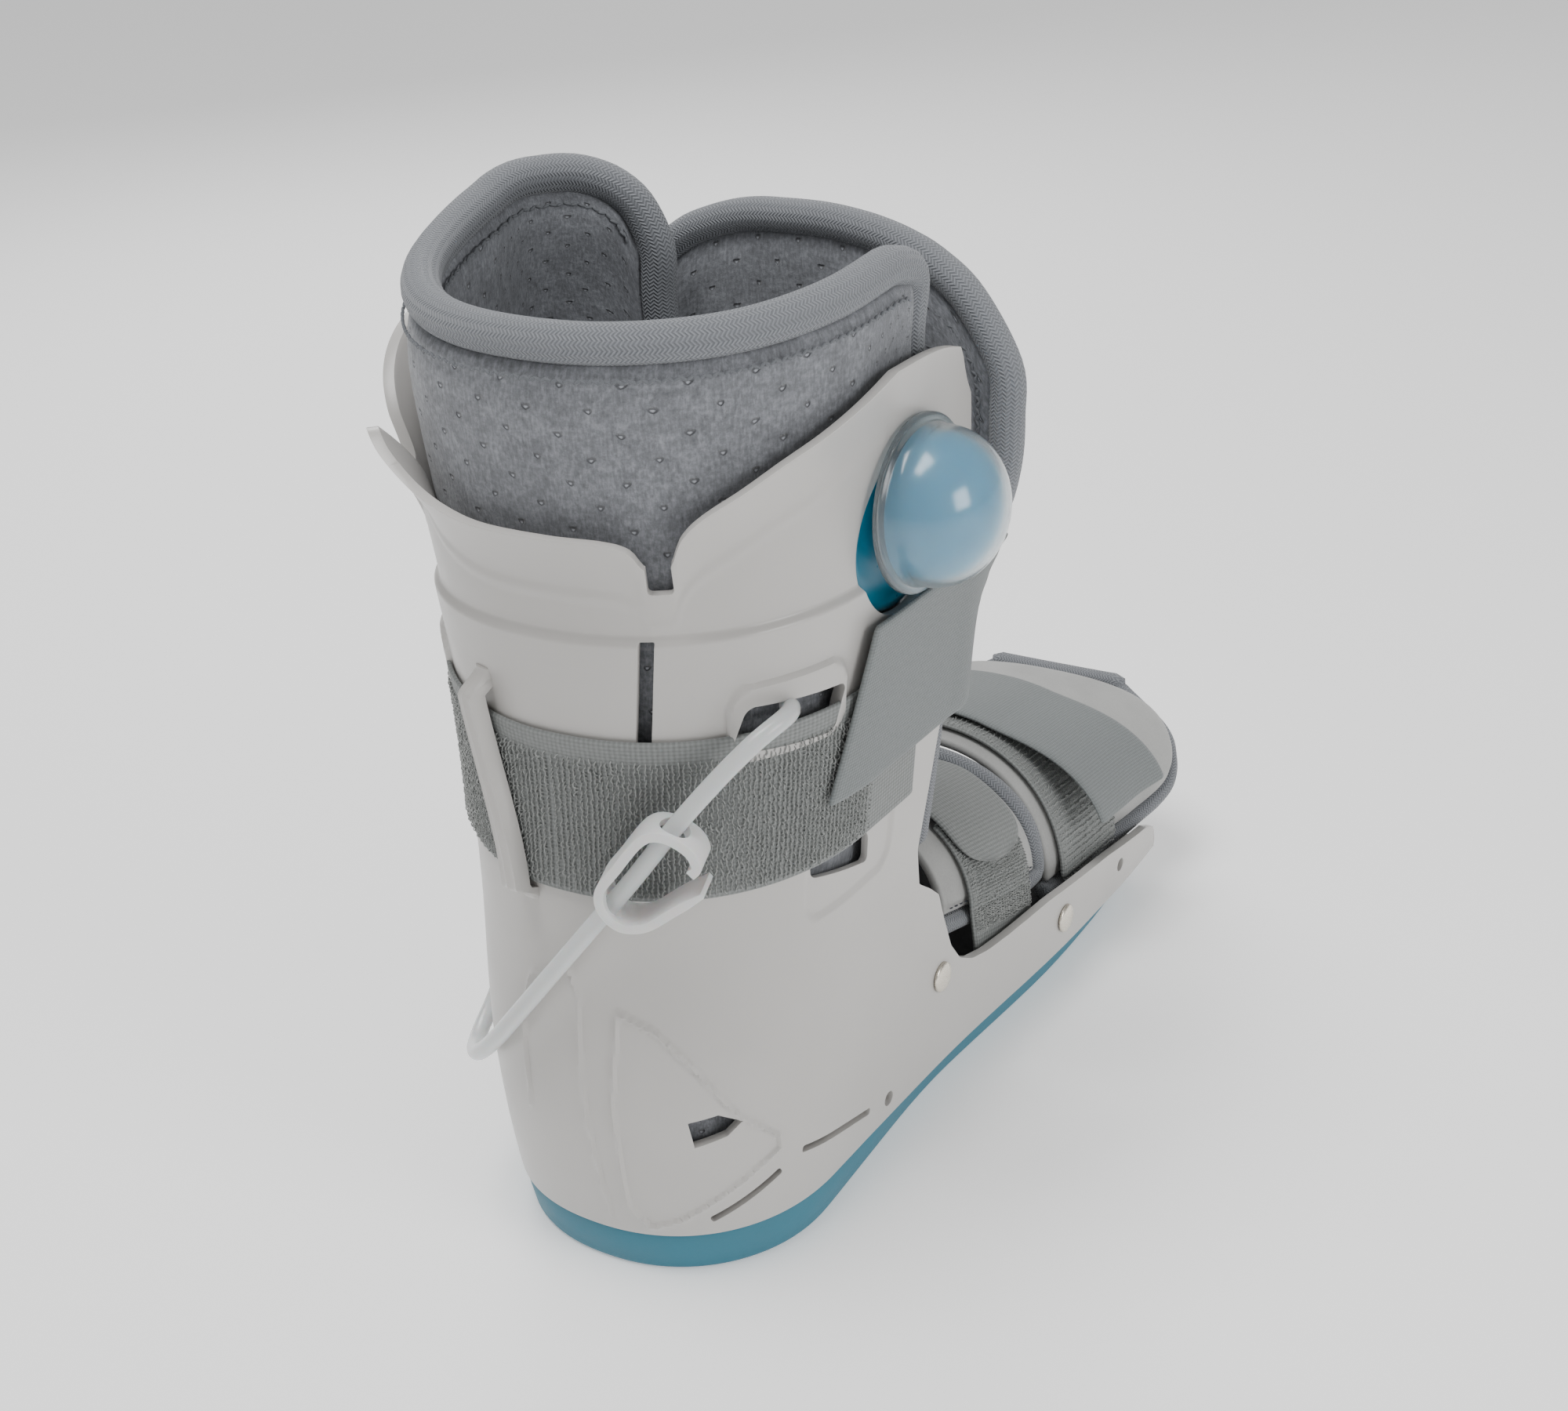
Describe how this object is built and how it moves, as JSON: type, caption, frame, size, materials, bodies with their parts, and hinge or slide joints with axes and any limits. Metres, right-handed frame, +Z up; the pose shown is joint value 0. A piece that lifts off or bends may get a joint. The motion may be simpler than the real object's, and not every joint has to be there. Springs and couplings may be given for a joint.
{
  "type": "short air walker boot",
  "caption": "Short air walker boot: open moulded shell on a rubber rocker sole, padded liner with front flap, squeeze air pump with tube and clamp, and hook-and-loop straps.",
  "frame": {"origin": "on the sole's flat underside, below the ankle", "axes": "+Y towards the toes, +X towards the side that carries the pump, +Z up"},
  "size_m": [0.1683, 0.314, 0.2948],
  "materials": {
    "rubber_teal": "matte teal moulded rubber",
    "shell_grey": "satin light warm-grey plastic",
    "foam_fabric": "brushed grey foam fabric with small holes",
    "binding_knit": "zigzag knit binding",
    "foot_foam": "dark closed-cell foam",
    "pad_laminate": "smooth light-grey laminated foam",
    "loop_tape": "grey loop pile",
    "hook_tape": "smooth grey strap",
    "bladder_film": "teal welded film",
    "bulb_blue": "sky-blue soft plastic",
    "frosted_clear": "frosted clear plastic",
    "milky_tube": "milky translucent plastic",
    "rivet_metal": "pale champagne metal"
  },
  "bodies": {
    "root": {"outsole": "rubber_teal", "shell": "shell_grey", "liner": "foam_fabric", "front_flap": "foam_fabric", "liner_binding": "binding_knit", "flap_binding": "binding_knit", "toe_piping": "binding_knit", "instep_piping": "binding_knit", "foot_pad": "foot_foam", "toe_pad": "pad_laminate", "instep_pad": "pad_laminate", "toe_loop_strap": "loop_tape", "instep_strap": "loop_tape", "instep_tab": "loop_tape", "ankle_strap": "loop_tape", "toe_strap": "hook_tape", "closure_strap": "hook_tape", "air_bladder": "bladder_film", "pump_bulb": "bulb_blue", "pump_dome": "frosted_clear", "air_tube": "milky_tube", "tube_clamp": "milky_tube", "rivet_heel_right": "rivet_metal", "rivet_heel_left": "rivet_metal", "rivet_ball_right": "rivet_metal", "rivet_ball_left": "rivet_metal"}
  },
  "joints": []
}
